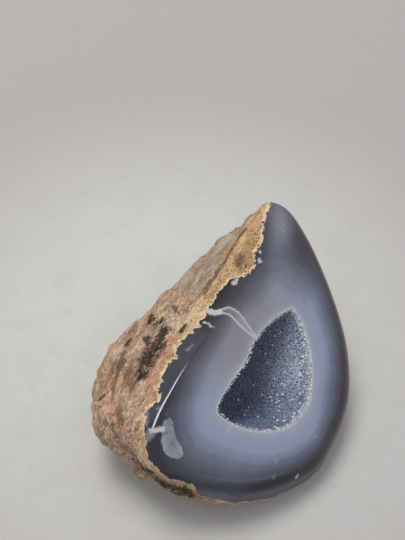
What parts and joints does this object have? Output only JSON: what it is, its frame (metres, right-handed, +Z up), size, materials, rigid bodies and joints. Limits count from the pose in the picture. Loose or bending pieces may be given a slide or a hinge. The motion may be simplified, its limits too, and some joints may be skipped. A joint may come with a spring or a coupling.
{
  "type": "agate geode",
  "caption": "Palm-sized agate nodule, ground and polished to a low dome on one side, with a rough rind round the rest and a crystal-lined hollow.",
  "frame": {"origin": "middle of the footprint, on the surface that the stone rests on", "axes": "+Y runs towards the narrow tip, +X to the side where the polish rolls over, +Z up; the polished face leans down to the front right"},
  "size_m": [0.0844, 0.0948, 0.045],
  "materials": {
    "agate": "banded grey-blue agate with a glossy polish on the tilted side, rough tan and cream rind on the rest",
    "druse": "crust of clear to grey quartz crystals under a millimetre across, sparkling"
  },
  "bodies": {
    "root": {"stone": "agate", "crystal_crust": "druse"}
  },
  "joints": []
}
